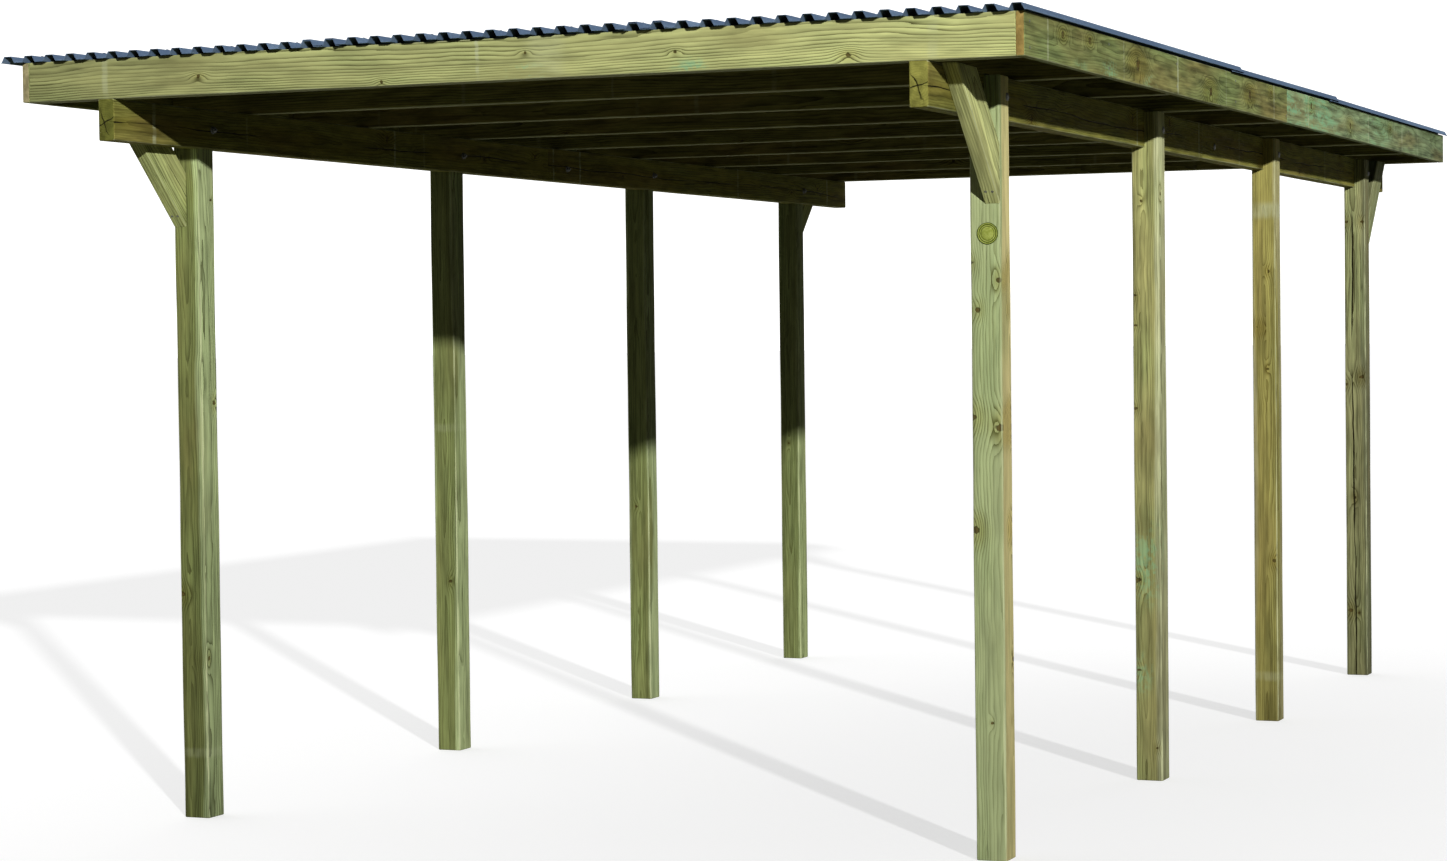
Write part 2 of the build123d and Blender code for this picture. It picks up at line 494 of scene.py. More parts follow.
# What a timber has if its own look says nothing else
PLAIN_LOOK = dict(
    heart_radius=0.05, ring_width=0.0065, ring_strength=0.8, green=0.3, brown=0.2, cracks=0.5,
    crack_angle=0.0, wear=0.6, fade=0.0, mottle=0.25, streak=0.4, underside=0.0)


def pine(name, seed, pith, sap, heart, late, end=(166, 140, 80), ripple=0.014, middle=0.0,
         spots=(), drawn=(), bars=(), blots=(), **own_look):
    """A material of treated pine for one timber, with the marks that lie on it.

    Spots are knots seen on a face (along, a, b, size): a knot's angle is the way from the pith to its spot.
    Drawn knots are (along, angle, size), bars (along, width, strength), blots (along, a, b, size, strength).
    """
    material, tree = open_material("pine_" + name)
    grain = stored(tree, "grain", "Vector")
    log = use(tree, log_growth, {"Grain": grain, "Ripple": ripple})
    place, fine, patch = ({key: log[key]} for key in ("Place", "Fine", "Patch"))
    start = LOG_GAP * seed
    knots = [(along, math.atan2(b - pith[1], a - pith[0]), size, math.dist((a, b), pith), SPOT_SHELL)
             for along, a, b, size in spots]
    knots += [(along, angle, size, 0.0, WHOLE_BRANCH) for along, angle, size in drawn]
    branch = {"Knot": 0.0, "Swell": 0.0}
    for along, angle, size, depth, shell in knots:
        branch = use(tree, branch_knot, {**place, **fine, "Along": along + start, "Angle": angle,
                                         "Size": size, "Depth": depth, "Shell": shell, **branch})
    bar = {"Bar": 0.0}
    for along, width, strength in bars:
        bar = use(tree, stick_bar, {**place, **patch, "Along": along + start, "Width": width,
                                    "Strength": strength, **bar})
    blot = {"Blot": 0.0}
    for along, a, b, size, strength in blots:
        centre = (along + start, a - pith[0], b - pith[1])
        blot = use(tree, salt_blot, {"Grain": grain, **fine, **patch, "Centre": centre, "Size": size,
                                     "Strength": strength, **blot})
    look = {key.replace("_", " ").title(): value for key, value in {**PLAIN_LOOK, **own_look}.items()}
    tones = {"Sapwood": tone(*sap), "Heartwood": tone(*heart), "Latewood": tone(*late), "Cut End": tone(*end)}
    wood = use(tree, treated_pine, {
        "Grain": grain, **place, **fine, **patch, **branch, **bar, **blot, **look, **tones,
        "Middle": middle + start, "Arris": stored(tree, "arris"), "Sawn": stored(tree, "sawn")})
    normal = bumped(wood["Height"], SURFACE_STRENGTH, SURFACE_DEPTH)
    return close_material(material, wood["Color"], wood["Roughness"], WOOD_GLOSS, Normal=normal)


# %% [markdown]
# ## A timber as a carried section
# A planed timber is a rectangle with eased corners, carried along its length. A cube with a bevel
# would do for the shape, but it has no points along its length to hold the log's measures, and
# its edges would be dead straight. Here the section is a ring of points, repeated at stations
# along the timber, and the easing of each corner drifts a little from station to station.

# %% The section ring
CORNER_TURNS = np.linspace(0.0, np.pi / 2, 4)
FLAT_REACH = 2.0
INSET_A = np.concatenate(([0.0], 1 - np.cos(CORNER_TURNS), [FLAT_REACH]))
INSET_B = np.concatenate(([FLAT_REACH], 1 - np.sin(CORNER_TURNS), [0.0]))
CORNER_POINTS = len(INSET_A)
ROUNDED = np.minimum(INSET_A, INSET_B) > 1e-6


def round_the_ring(loose, corner):
    """Values round the ring: a loose point above, two outer corners, one below, two inner corners."""
    return np.concatenate(([loose], corner[::-1], corner, [loose], corner[::-1], corner)).astype(float)


RING_INSET_A = round_the_ring(np.nan, INSET_A)
RING_INSET_B = round_the_ring(0.0, INSET_B)
RING_ARRIS = round_the_ring(0.0, ROUNDED)
RING_RUNS = [1, CORNER_POINTS, CORNER_POINTS, 1, CORNER_POINTS, CORNER_POINTS]
SIDE_A = np.repeat([0.0, 1.0, 1.0, 0.0, -1.0, -1.0], RING_RUNS)
SIDE_B = np.repeat([1.0, 1.0, -1.0, -1.0, -1.0, 1.0], RING_RUNS)
CORNER_OF = np.repeat([0, 0, 1, 1, 2, 3], RING_RUNS)
RING_SIZE = len(SIDE_A)
TONGUE_SIZE = 2 * CORNER_POINTS + 2


def section(half_a, half_b, wall, radii):
    """Rings of a rounded rectangle: each point is its corner, moved in by its inset times a radius.

    The radii are stations by four corners. The two loose points lie at the wall.
    """
    radius = radii[:, CORNER_OF]
    across_a = SIDE_A * (half_a - np.nan_to_num(RING_INSET_A) * radius)
    across_a = np.where(np.isnan(RING_INSET_A), wall, across_a)
    across_b = SIDE_B * (half_b - RING_INSET_B * radius)
    return across_a, across_b


print("section ring:", RING_SIZE, "points, of which", TONGUE_SIZE, "go on along a tongue")

# %% Rings along a timber
STATION_STEP = 0.06
CUT_EASE = 0.0018
SLOW_DRIFT, QUICK_DRIFT = 0.3, 0.2
SLOW_TURN, QUICK_TURN = 5.1, 13.7


def drifting_radii(along, edge, draw):
    """The radius of each corner along a timber: the planed radius, drifting by two sine waves."""
    phase = draw.uniform(0, 2 * np.pi, (2, 4))
    slow = SLOW_DRIFT * np.sin(SLOW_TURN * along[:, None] + phase[0])
    return edge * (1 + slow + QUICK_DRIFT * np.sin(QUICK_TURN * along[:, None] + phase[1]))


def stations(start, end):
    """Stations from one end to the other, about a step apart."""
    return np.linspace(start, end, max(2, int(np.ceil((end - start) / STATION_STEP)) + 1))


def carried(along, half_a, half_b, wall, edge, slants, draw):
    """Points (along, a, b) of a section carried to the stations, with slanting cuts at both ends.

    A cut's slant says how far it moves along for each metre of b. Between the cuts the slide is shared out.
    """
    across_a, across_b = section(half_a, half_b, wall, drifting_radii(along, edge, draw))
    share = (along - along[0]) / (along[-1] - along[0])
    slide = (1 - share)[:, None] * slants[0] + share[:, None] * slants[1]
    return np.stack((along[:, None] + slide * across_b, across_a, across_b), axis=-1)


def eased(ring, middle_a, half_a, half_b):
    """A ring drawn in evenly on all sides by the easing of a saw cut."""
    middle = np.array([0.0, middle_a, 0.0])
    return middle + (ring - middle) * np.array([1.0, 1 - CUT_EASE / half_a, 1 - CUT_EASE / half_b])


def strips(index):
    """Quads between neighbouring rings of point numbers, round and round."""
    turned = np.roll(index, -1, axis=1)
    return np.stack((index[:-1], index[1:], turned[1:], turned[:-1]), axis=-1).reshape(-1, 4).tolist()


def numbered(count, width, first=0):
    """Point numbers of some rings, row by row."""
    return np.arange(first, first + count * width).reshape(count, width)


# %% The carried timber
SHARP_ANGLE = math.radians(40)


def keep(mesh, name, kind, domain, values):
    """Stores an array on a mesh as an attribute."""
    values = np.asarray(values, np.float32).ravel()
    slot = "vector" if kind == "FLOAT_VECTOR" else "value"
    mesh.attributes.new(name, kind, domain).data.foreach_set(slot, values)


def placed(name, mesh, material):
    """A finished mesh as a piece that rides on the frame: smooth, but sharp where faces turn sharply."""
    mesh.shade_smooth()
    mesh.set_sharp_from_angle(angle=SHARP_ANGLE)
    mesh.materials.append(material)
    piece = bpy.data.objects.new(name, mesh)
    scene.collection.objects.link(piece)
    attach(piece, "root")
    return piece


def timber(node, axes, centre, halves, reach, edge, pith, seed, look, wall=0.0, tongue=None,
           slants=(0.0, 0.0)):
    """A timber in place of a solid: its section carried along the first axis, with a and b along the others.

    With a tongue, the half beyond the wall goes on past the shoulder at the end of the reach.
    """
    half_a, half_b = halves
    body = carried(stations(*reach), half_a, half_b, wall, edge, slants, np.random.default_rng(seed))
    rings = [eased(body[:1], 0.0, half_a, half_b), body]
    body[0, :, 0] += CUT_EASE
    index = numbered(len(body) + 1, RING_SIZE)
    if tongue is None:
        rings.append(eased(body[-1:], 0.0, half_a, half_b))
        body[-1, :, 0] -= CUT_EASE
        index = numbered(len(body) + 2, RING_SIZE)
        sides = strips(index)
        cuts = [index[0].tolist(), index[-1, ::-1].tolist()]
        arris = np.tile(RING_ARRIS, len(index))
    else:
        climb = stations(reach[1], tongue)[1:, None, None] - reach[1]
        rise = body[-1, :TONGUE_SIZE] + climb * np.array([1.0, 0.0, 0.0])
        rings += [rise, eased(rise[-1:], (wall + half_a) / 2, (half_a - wall) / 2, half_b)]
        rise[-1, :, 0] -= CUT_EASE
        higher = numbered(len(rise) + 1, TONGUE_SIZE, index.size)
        on = np.concatenate((index[-1:, :TONGUE_SIZE], higher))
        sides = strips(index) + strips(on)
        shoulder = index[-1, np.append(np.arange(TONGUE_SIZE - 1, RING_SIZE), 0)]
        cuts = [index[0].tolist(), shoulder[::-1].tolist(), on[-1, ::-1].tolist()]
        arris = np.append(np.tile(RING_ARRIS, len(index)), np.tile(RING_ARRIS[:TONGUE_SIZE], len(higher)))
    points = np.concatenate([ring.reshape(-1, 3) for ring in rings])
    axes = np.array(axes, float)
    faces = sides + cuts
    if np.linalg.det(axes) < 0:
        faces = [face[::-1] for face in faces]
    mesh = bpy.data.meshes.new("pine_" + node)
    mesh.from_pydata((np.array(centre) + points @ axes).tolist(), [], faces)
    keep(mesh, "grain", "FLOAT_VECTOR", "POINT", points + np.array([LOG_GAP * seed, -pith[0], -pith[1]]))
    keep(mesh, "arris", "FLOAT", "POINT", arris)
    keep(mesh, "sawn", "FLOAT", "FACE", np.repeat([0.0, 1.0], [len(sides), len(cuts)]))
    piece = placed("pine_" + node, mesh, pine(node, seed, pith, **look))
    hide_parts(node)


# %% Marks drawn by lot
KNOT_SEEDS, BAR_SEEDS = 1000, 2000
KNOT_SHIFT = 0.3
BAR_WIDTHS, BAR_SHARES = (0.006, 0.02), (0.4, 1.0)


def drawn_knots(seed, reach, spacing, sizes=(0.005, 0.012), angles=(-np.pi, np.pi)):
    """Knots drawn along a timber, about a spacing apart, at an angle round the pith between two limits."""
    draw = np.random.default_rng(KNOT_SEEDS + seed)
    count = max(2, int((reach[1] - reach[0]) / spacing))
    along = np.linspace(*reach, count + 2)[1:-1] + draw.uniform(-KNOT_SHIFT, KNOT_SHIFT, count) * spacing
    knots = (along, draw.uniform(*angles, count), draw.uniform(*sizes, count))
    return np.stack(knots, axis=1).tolist()


def drawn_bars(seed, reach, spacing, strength):
    """Stick bars drawn along a timber, about a spacing apart."""
    draw = np.random.default_rng(BAR_SEEDS + seed)
    count = max(1, int((reach[1] - reach[0]) / spacing))
    widths = draw.uniform(*BAR_WIDTHS, count)
    strengths = strength * draw.uniform(*BAR_SHARES, count)
    return np.stack((draw.uniform(*reach, count), widths, strengths), axis=1).tolist()


# %% [markdown]
# ## The posts
# Eight square posts stand on the ground. The inner half of each is cut away at the top, so that
# the beam sits on a shoulder and leans on the tongue that is left. Where the heart of the log
# lies differs from post to post, and that decides which face is brown and which is pale.

# %% Looks of the posts
X, Y, Z = (1.0, 0.0, 0.0), (0.0, 1.0, 0.0), (0.0, 0.0, 1.0)
POST_EDGE, POST_FACE = 0.005, 0.045
ROWS = ("front", "second", "third", "rear")
SIDES = {"left": -1.0, "right": 1.0}


def on_front(*marks):
    """Marks (along, a, ...) on the front face of a post, as marks (along, a, b, ...)."""
    return [(along, a, -POST_FACE, *rest) for along, a, *rest in marks]


# Each post: the pith (a, b), the tones of its wood, and the knots, bars and blots seen on it
POST_LOOK = dict(heart_radius=0.044, green=0.2, brown=0.1)
POST_LOOKS = {
    "front_left": ((0.010, -0.026), dict(
        sap=(155, 167, 120), heart=(105, 110, 64), late=(72, 74, 40), brown=0.2, fade=0.32,
        spots=[(1.951, -POST_FACE, 0.027, 0.005), (1.31, -POST_FACE, 0.014, 0.009),
               (0.505, -POST_FACE, -0.030, 0.009)] + on_front((0.708, 0.036, 0.010)),
        bars=[(0.206, 0.03, 0.14)])),
    "second_left": ((0.004, -0.028), dict(
        sap=(158, 170, 122), heart=(115, 122, 74), late=(86, 90, 48), spots=on_front((0.62, -0.012, 0.007)),
        bars=[(1.18, 0.03, 0.12)])),
    "third_left": ((-0.004, -0.028), dict(
        sap=(158, 170, 124), heart=(117, 124, 75), late=(86, 90, 48), spots=on_front((0.8, 0.01, 0.006)))),
    "rear_left": ((0.002, -0.028), dict(
        sap=(152, 163, 114), heart=(108, 115, 70), late=(84, 88, 46), spots=on_front((1.0, 0.0, 0.006)))),
    "front_right": ((0.062, 0.030), dict(
        sap=(161, 171, 124), heart=(199, 188, 132), late=(104, 108, 62), heart_radius=0.07, green=0.3,
        brown=0.05, fade=0.18, mottle=0.2, streak=0.18, ring_strength=0.6,
        spots=on_front((1.65, 0.038, 0.010), (1.566, -0.024, 0.008), (1.232, 0.038, 0.013),
                       (1.262, -0.044, 0.012), (1.70, -0.040, 0.008), (0.942, -0.038, 0.012),
                       (0.394, 0.012, 0.005)))),
    "second_right": ((-0.010, -0.028), dict(
        sap=(169, 171, 130), heart=(151, 149, 96), late=(104, 102, 58), green=0.35, brown=0.25, fade=0.3,
        mottle=0.35,
        spots=on_front((1.933, -0.016, 0.006)) + [(1.957, POST_FACE, -0.02, 0.008)] + on_front(
            (0.671, -0.036, 0.009), (0.37, -0.034, 0.006), (0.11, 0.02, 0.006), (1.62, -0.040, 0.005),
            (1.52, -0.042, 0.005), (1.243, -0.040, 0.006)),
        blots=on_front((0.73, 0.0, 0.10, 0.5), (0.36, -0.02, 0.05, 0.4)))),
    "third_right": ((0.004, -0.028), dict(
        sap=(158, 153, 110), heart=(147, 140, 79), late=(104, 92, 42), green=0.15, brown=0.3, fade=0.26,
        mottle=0.3,
        spots=on_front((1.723, 0.024, 0.007), (1.35, 0.006, 0.007), (0.616, 0.026, 0.008)),
        bars=[(1.955, 0.06, 0.5), (0.173, 0.035, 0.18)])),
    "rear_right": ((-0.006, -0.018), dict(
        sap=(104, 106, 78), heart=(135, 135, 94), late=(84, 80, 48), heart_radius=0.046, green=0.25,
        brown=0.2, cracks=1.9, crack_angle=-1.7, fade=0.32, mottle=0.4,
        spots=on_front((1.96, -0.036, 0.008), (1.96, 0.034, 0.008), (1.29, 0.032, 0.010),
                       (1.26, -0.036, 0.008), (0.77, -0.008, 0.009), (0.28, -0.034, 0.010),
                       (0.27, 0.004, 0.006)))),
}

# Drawn knots keep to the faces that the photograph doesn't show
HIDDEN_ANGLES = {"left": (-0.2, 2.0), "right": (1.2, 3.2)}
POST_KNOT_SPACING = 0.6


# %% Posts
def build_posts():
    """Every post, from the box of its solid and the underside of the beam that it carries."""
    for number, (row, (side_name, side)) in enumerate((r, s) for r in ROWS for s in SIDES.items()):
        name = f"{row}_{side_name}"
        pith, look = POST_LOOKS[name]
        low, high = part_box(name + "_post")
        beam_row = "front" if row in ROWS[:2] else "rear"
        beam_low, beam_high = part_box(f"{beam_row}_{side_name}_beam")
        middle = (low + high) / 2
        half = (high.x - low.x) / 2
        wall = max(side * beam_low.x, side * beam_high.x) - side * middle.x
        reach = (low.z, beam_low.z)
        drawn = drawn_knots(number, reach, POST_KNOT_SPACING, angles=HIDDEN_ANGLES[side_name])
        timber(name + "_post", (Z, (side, 0, 0), Y), (middle.x, middle.y, 0), (half, half), reach, POST_EDGE,
               pith, number, {**POST_LOOK, **look, "drawn": drawn, "middle": beam_low.z / 2}, wall, high.z)
    print("posts:", number + 1, "with shoulders at", round(beam_low.z, 3), "m")


build_posts()

# %% [markdown]
# ## The beams
# A beam is longer than the stock that is sold, so each one is two lengths, halved where they meet
# in the middle and bolted there. On the inside of the left beam the photograph shows pale bars
# where sticks lay, so those are listed one by one, and knots and cracks come from the log.

# %% Beams
BEAM_LOGS = 20
BEAM_EDGE = 0.004
BEAM_PITH = (0.004, -0.006)
BEAM_KNOTS = (0.45, (0.006, 0.013))
BEAM_LOOK = dict(sap=(124, 122, 60), heart=(112, 107, 48), late=(74, 68, 28), heart_radius=0.04, green=0.2,
                 brown=0.3, cracks=1.3, mottle=0.5)
BEAM_ENDS = {"left": (100, 102, 46), "right": (140, 138, 68)}
BEAM_BARS = {
    "front_left": [(-2.91, 0.02, 0.5), (-1.377, 0.014, 0.5), (-1.162, 0.010, 0.3), (-2.367, 0.01, 0.2)],
    "rear_left": [(0.10, 0.014, 0.6), (-0.14, 0.016, 0.7), (-1.772, 0.014, 0.5), (-2.876, 0.012, 0.6)],
    "front_right": [(-1.02, 0.012, 0.5), (-0.2, 0.014, 0.5)],
    "rear_right": [(-0.4, 0.01, 0.4), (-1.9, 0.012, 0.4)],
}


def build_beams():
    """Every half of a beam: a front one keeps its left side over the lap, a rear one is turned about."""
    for number, (name, bars) in enumerate(BEAM_BARS.items(), BEAM_LOGS):
        row, side_name = name.split("_")
        low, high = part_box(name + "_beam")
        other_low, other_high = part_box(("rear" if row == "front" else "front") + f"_{side_name}_beam")
        turn = 1.0 if row == "front" else -1.0
        middle = (low + high) / 2
        ends = sorted((turn * low.y, turn * high.y))
        shoulder = min(turn * other_low.y, turn * other_high.y)
        halves = ((high.x - low.x) / 2, (high.z - low.z) / 2)
        look = dict(BEAM_LOOK, bars=bars, end=BEAM_ENDS[side_name], crack_angle=math.pi if turn > 0 else 0.0,
                    drawn=drawn_knots(number, ends, *BEAM_KNOTS))
        pith = (BEAM_PITH[0] * turn, BEAM_PITH[1])
        timber(name + "_beam", ((0, turn, 0), (-turn, 0, 0), Z), (middle.x, 0, middle.z), halves,
               (ends[0], shoulder), BEAM_EDGE, pith, number, look, 0.0, ends[1])
    print("beams:", len(BEAM_BARS), "lengths, lapped over", round(ends[1] - shoulder, 3), "m")


build_beams()

# %% [markdown]
# ## The braces
# A brace at each corner post stops the frame from leaning. It is cut upright against the post and
# level under the rafters, so both of its ends are slanting cuts through the same section.

# %% Braces
BRACE_LOGS = 30
BRACE_WIDTH, BRACE_EDGE = 0.120, 0.003
BRACE_PITH = (-0.08, 0.012)
BRACE_KNOTS = (0.25, (0.004, 0.008))
BRACE_KNOTS_FROM = 0.05
BRACE_LOOK = dict(heart=(160, 152, 92), late=(118, 116, 62), heart_radius=0.03, green=0.25, brown=0.25,
                  cracks=0.9)
BRACE_SAP = {"front_left": (180, 187, 122), "front_right": (200, 204, 138),
             "rear_left": (160, 166, 112), "rear_right": (136, 142, 104)}


def build_braces():
    """Every brace: the slope comes from its solid's box, and each cut's slant from that slope."""
    for number, (name, sap) in enumerate(BRACE_SAP.items(), BRACE_LOGS):
        row, side_name = name.split("_")
        away = -1.0 if row == "front" else 1.0
        low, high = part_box(name + "_brace")
        rise = (high.z - low.z) / (high.y - low.y)
        tilt = math.atan(rise)
        foot = high.y if away < 0 else low.y
        along = (0, away * math.cos(tilt), math.sin(tilt))
        square = (0, -away * math.sin(tilt), math.cos(tilt))
        middle_z = low.z + BRACE_WIDTH / math.cos(tilt) / 2
        length = (high.z - middle_z) / math.sin(tilt)
        halves = ((high.x - low.x) / 2, BRACE_WIDTH / 2)
        axes, centre = (along, (SIDES[side_name], 0, 0), square), ((low.x + high.x) / 2, foot, middle_z)
        look = dict(BRACE_LOOK, sap=sap, drawn=drawn_knots(number, (BRACE_KNOTS_FROM, length), *BRACE_KNOTS))
        timber(name + "_brace", axes, centre, halves, (0.0, length), BRACE_EDGE, BRACE_PITH, number, look,
               slants=(rise, -1 / rise))
    print("braces:", len(BRACE_SAP), "at", round(math.degrees(tilt), 1), "degrees")


build_braces()

# %% [markdown]
# ## The rafters and the boards round the roof
# Nine rafters lie on edge across the beams. A board closes them in at each end, and two long
# boards, each of two lengths, cover their ends at the sides. The front board was sawn well off
# the heart, which is why its rings run as fine lines that bend round the knots.

# %% Rafters
RAFTERS = ("front", "second", "third", "fourth", "middle", "sixth", "seventh", "eighth", "rear")
RAFTER_LOGS = 40
RAFTER_EDGE = 0.003
RAFTER_PITHS = ((-0.03, -0.03), (-0.03, 0.0), (-0.03, 0.03))
RAFTER_KNOTS = (0.4, (0.007, 0.015))
RAFTER_BARS = (0.8, 0.2)
# Rafters get strong pale edges, partly wear and partly painted highlight, and a painted pale light on their
# lower faces, as if lit from the floor below
RAFTER_LOOK = dict(sap=(128, 124, 70), heart=(116, 108, 58), late=(78, 72, 36), heart_radius=0.04, green=0.15,
                   brown=0.4, wear=1.6, mottle=0.5, underside=0.8)


def lying(name, along_x, outward, edge, pith, seed, look):
    """A board or rafter on edge, from its solid's box, along X or Y: a points to its outer face, b up."""
    low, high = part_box(name)
    middle = (low + high) / 2
    size = high - low
    if along_x:
        axes, centre = (X, (0, outward, 0), Z), (0, middle.y, middle.z)
        half, reach = size.y / 2, (low.x, high.x)
    else:
        axes, centre = (Y, (outward, 0, 0), Z), (middle.x, 0, middle.z)
        half, reach = size.x / 2, (low.y, high.y)
    timber(name, axes, centre, (half, size.z / 2), reach, edge, pith, seed, look)


for number, row in enumerate(RAFTERS, RAFTER_LOGS):
    low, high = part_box(row + "_rafter")
    marks = dict(drawn=drawn_knots(number, (low.x, high.x), *RAFTER_KNOTS),
                 bars=drawn_bars(number, (low.x, high.x), *RAFTER_BARS))
    pith = RAFTER_PITHS[number % len(RAFTER_PITHS)]
    lying(row + "_rafter", True, -1.0, RAFTER_EDGE, pith, number, dict(RAFTER_LOOK, **marks))
print("rafters:", len(RAFTERS))

# %% End boards
FRONT_LOG, REAR_LOG = 60, 61
BOARD_EDGE, BOARD_FACE = 0.003, 0.0125
FRONT_PITH, REAR_PITH = (-0.120, 0.080), (-0.120, -0.085)
REAR_REACH = (-1.5, 1.5)
REAR_KNOT_SPACING, REAR_BARS = 0.5, (0.7, 0.4)


def on_face(*marks):
    """Marks (along, b, ...) on the outer face of a board, as marks (along, a, b, ...)."""
    return [(along, BOARD_FACE, *rest) for along, *rest in marks]


# The lower face of each end board gets a painted pale light, as if lit from the floor below
FRONT_LOOK = dict(
    sap=(177, 180, 120), heart=(177, 165, 107), late=(64, 61, 26), end=(168, 144, 84), heart_radius=0.02,
    ring_width=0.0052, ring_strength=0.95, ripple=0.007, cracks=0.15, fade=0.19, streak=0.2, underside=0.8,
    spots=on_face((-0.965, -0.006, 0.007), (0.112, 0.010, 0.005), (0.575, 0.0, 0.005), (1.086, -0.034, 0.008),
                  (-0.35, -0.05, 0.005)),
    bars=[(-0.04, 0.012, 0.5), (0.175, 0.12, 0.22), (-1.289, 0.02, 0.3), (1.329, 0.03, 0.2)],
    blots=on_face((0.111, -0.054, 0.05, 0.9), (0.62, -0.052, 0.04, 0.7)),
)
REAR_MARKS = dict(spots=(), blots=(), drawn=drawn_knots(REAR_LOG, REAR_REACH, REAR_KNOT_SPACING),
                  bars=drawn_bars(REAR_LOG, REAR_REACH, *REAR_BARS))

lying("front_edge_board", True, -1.0, BOARD_EDGE, FRONT_PITH, FRONT_LOG, FRONT_LOOK)
lying("rear_edge_board", True, 1.0, BOARD_EDGE, REAR_PITH, REAR_LOG, dict(FRONT_LOOK, **REAR_MARKS))
print("end boards: 2")

# %% Side boards
SIDE_LOGS = 70
SIDE_PITH = (-0.110, 0.025)
# The lower face of each side board gets a faint painted pale light, as if lit from the floor below
SIDE_LOOK = dict(
    heart=(128, 122, 74), late=(74, 76, 40), heart_radius=0.02, green=0.5, brown=0.45, ring_width=0.004,
    ring_strength=0.6, ripple=0.005, mottle=0.6, streak=0.5, underside=0.3)
SIDE_SAP = {"front": (126, 130, 80), "rear": (132, 149, 109)}
SIDE_MARKS = {
    "front_right": dict(
        spots=on_face((-2.771, 0.023, 0.013), (-2.506, 0.022, 0.012), (-1.995, -0.005, 0.022),
                      (-1.107, -0.018, 0.020), (-0.566, 0.001, 0.018), (-0.25, 0.025, 0.013)),
        bars=[(-2.914, 0.014, 0.5), (-2.15, 0.01, 0.35), (-1.526, 0.014, 0.7), (-0.9, 0.01, 0.3),
              (-0.206, 0.016, 0.6)],
        blots=on_face((-2.3, -0.05, 0.06, 0.7), (-2.6, -0.06, 0.05, 0.4), (-1.85, -0.06, 0.06, 0.5))),
    "rear_right": dict(
        spots=on_face((0.4, 0.02, 0.016), (1.1, -0.01, 0.016), (1.9, 0.02, 0.014)),
        bars=[(0.35, 0.014, 0.5), (1.45, 0.014, 0.6), (2.157, 0.014, 0.6), (2.5, 0.01, 0.4)],
        blots=on_face((0.5, -0.02, 0.3, 0.9), (0.12, 0.0, 0.2, 0.8), (1.6, -0.03, 0.2, 0.4)),
        middle=1.2, fade=-0.2),
    "front_left": dict(
        end=(158, 148, 110), spots=on_face((-2.2, 0.01, 0.013)),
        bars=[(-1.8, 0.012, 0.5), (-0.7, 0.012, 0.6)]),
    "rear_left": dict(spots=on_face((1.6, 0.0, 0.013)), bars=[(0.6, 0.012, 0.5), (2.3, 0.012, 0.6)]),
}

for number, (name, marks) in enumerate(SIDE_MARKS.items(), SIDE_LOGS):
    row, side_name = name.split("_")
    look = dict(SIDE_LOOK, sap=SIDE_SAP[row], **marks)
    lying(name + "_side_board", False, SIDES[side_name], BOARD_EDGE, SIDE_PITH, number, look)
print("side boards:", len(SIDE_MARKS))

# %% [markdown]
# ## The roof sheets
# The sheets are pressed plastic, blue-grey and dull, and the solids already have the trapezoid
# profile and the laps. They stay, and get a material: dust gathers on them and thins out in
# streaks that run with the water, along the profile.

# %% Roof sheet material
SHEET_DARK, SHEET_DUST = tone(88, 107, 132), tone(124, 146, 170)
STREAK_STRETCH = (26.0, 1.4, 26.0)
SPECK_STRETCH = (140.0, 140.0, 140.0)
SHEET_WAVES = (9.0, 5.0, 9.0)
WAVE_STRENGTH, WAVE_DEPTH = 0.25, 0.004
SHEET_GLOSS = 0.0


def sheet_material():
    """Dull plastic with streaks of dust: noise stretched along Y lifts the colour and roughens the skin.

    Seen along the roof, even a little gloss would mirror the white sky, so the sheets have none.
    """
    material, tree = open_material("dark_roof_sheet")
    where = object_place(tree)
    streaks = noise(where, STREAK_STRETCH, 4.0)
    dust = ramp(noise(where, SPECK_STRETCH) * 0.35 + streaks * 0.8, 0.5, 0.9)
    colour = blend(dust, SHEET_DARK, SHEET_DUST)
    normal = bumped(noise(where, SHEET_WAVES), WAVE_STRENGTH, WAVE_DEPTH)
    return close_material(material, colour, dust * 0.22 + 0.32, SHEET_GLOSS, Normal=normal)


roof_plastic = sheet_material()
sheets = [node for name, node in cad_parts.items() if name.endswith("roof_sheet")]
for sheet in sheets:
    sheet.data.materials.clear()
    sheet.data.materials.append(roof_plastic)
print("roof sheets:", len(sheets))

# %% [markdown]
# ## Turned fixings
# Bolt heads, washers, nuts, screws and caps are small turned shapes that repeat. A cylinder from
# the menu could be copied about, but every fixing is one profile spun round its own axis, so
# one function makes a whole set: it spins the profile once and sends copies to all the places.

# %% Spinning a profile
def spun(profile, segments, flat_to_flat=None):
    """A profile of (radius, height) rows spun round the third axis; with flats, the radius follows a hexagon.

    On a hexagon the radius is the half width over the cosine of the angle from the nearest flat's middle.
    """
    angle = np.linspace(0, 2 * np.pi, segments, endpoint=False)
    radius, height = np.array(profile).T[:, :, None]
    if flat_to_flat:
        off = (angle + np.pi / 6) % (np.pi / 3) - np.pi / 6
        radius = radius * flat_to_flat / 2 / np.cos(off)
    rings = (radius * np.cos(angle), radius * np.sin(angle), height + 0 * angle)
    return np.stack(rings, axis=-1)


